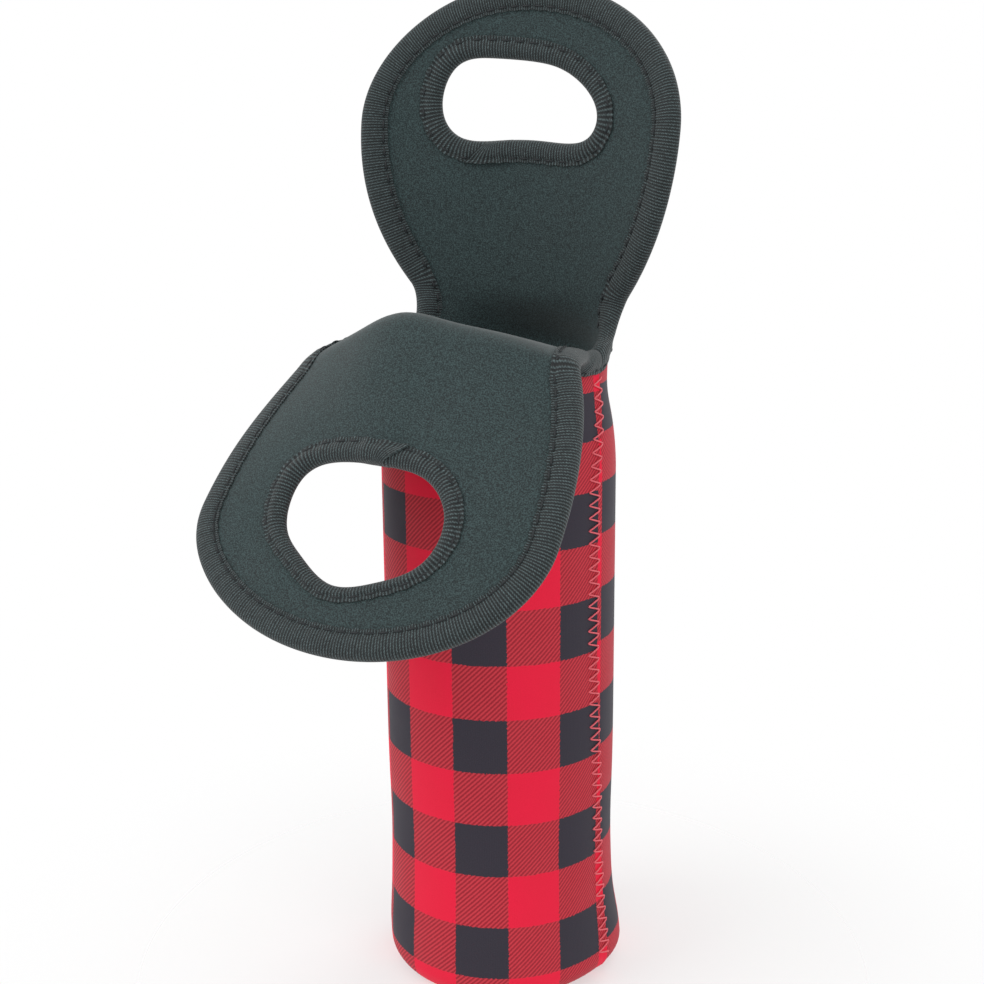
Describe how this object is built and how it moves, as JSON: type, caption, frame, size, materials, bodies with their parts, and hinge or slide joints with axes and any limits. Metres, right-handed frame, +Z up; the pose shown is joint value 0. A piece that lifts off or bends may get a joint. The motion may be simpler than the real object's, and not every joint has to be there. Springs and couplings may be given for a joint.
{
  "type": "bottle carrier",
  "caption": "Soft neoprene bottle sleeve with a round base, checked print, bound edges and a handle flap with a hand hole on each panel.",
  "frame": {"origin": "centre of the base, on the surface it stands on", "axes": "+Z up, -Y towards the folded front flap, +X to the right side seam"},
  "size_m": [0.1299, 0.1557, 0.3588],
  "materials": {
    "printed_knit": "matte knit printed with a red and black buffalo check",
    "foam": "closed-cell foam",
    "lining_knit": "matte charcoal knit",
    "binding_tape": "matte black ribbed knit tape",
    "dark_thread": "matte black thread",
    "coral_thread": "coral red thread"
  },
  "bodies": {
    "sleeve": {"front_sleeve_face": "printed_knit", "front_sleeve_foam": "foam", "front_sleeve_lining": "lining_knit", "back_sleeve_face": "printed_knit", "back_sleeve_foam": "foam", "back_sleeve_lining": "lining_knit", "base_face": "printed_knit", "base_foam": "foam", "base_lining": "lining_knit", "front_bend_face": "printed_knit", "front_bend_foam": "foam", "front_bend_lining": "lining_knit", "front_bend_binding": "binding_tape", "back_bend_face": "printed_knit", "back_bend_foam": "foam", "back_bend_lining": "lining_knit", "back_bend_binding": "binding_tape", "right_side_seam": "coral_thread", "left_side_seam": "coral_thread", "base_seam_thread": "dark_thread"},
    "front_flap": {"front_flap_face": "printed_knit", "front_flap_foam": "foam", "front_flap_lining": "lining_knit", "front_flap_binding": "binding_tape", "front_hole_binding": "binding_tape", "front_flap_stitching": "dark_thread", "front_hole_stitching": "dark_thread"},
    "back_flap": {"back_flap_face": "printed_knit", "back_flap_foam": "foam", "back_flap_lining": "lining_knit", "back_flap_binding": "binding_tape", "back_hole_binding": "binding_tape", "back_flap_stitching": "dark_thread", "back_hole_stitching": "dark_thread"}
  },
  "joints": [
    {"name": "front_flap_fold", "type": "hinge", "parent": "sleeve", "child": "front_flap", "pos_m": [0, -0.0424, 0.2447], "axis": [-0.9999, 0.0044, 0.0143], "range_deg": [-25, 161], "deforming": ["front_bend_face", "front_bend_foam", "front_bend_lining", "front_bend_binding"]},
    {"name": "back_flap_fold", "type": "hinge", "parent": "sleeve", "child": "back_flap", "pos_m": [0, 0.04087, 0.24484], "axis": [-1, 0, 0], "range_deg": [-9, 177], "deforming": ["back_bend_face", "back_bend_foam", "back_bend_lining", "back_bend_binding"]}
  ]
}
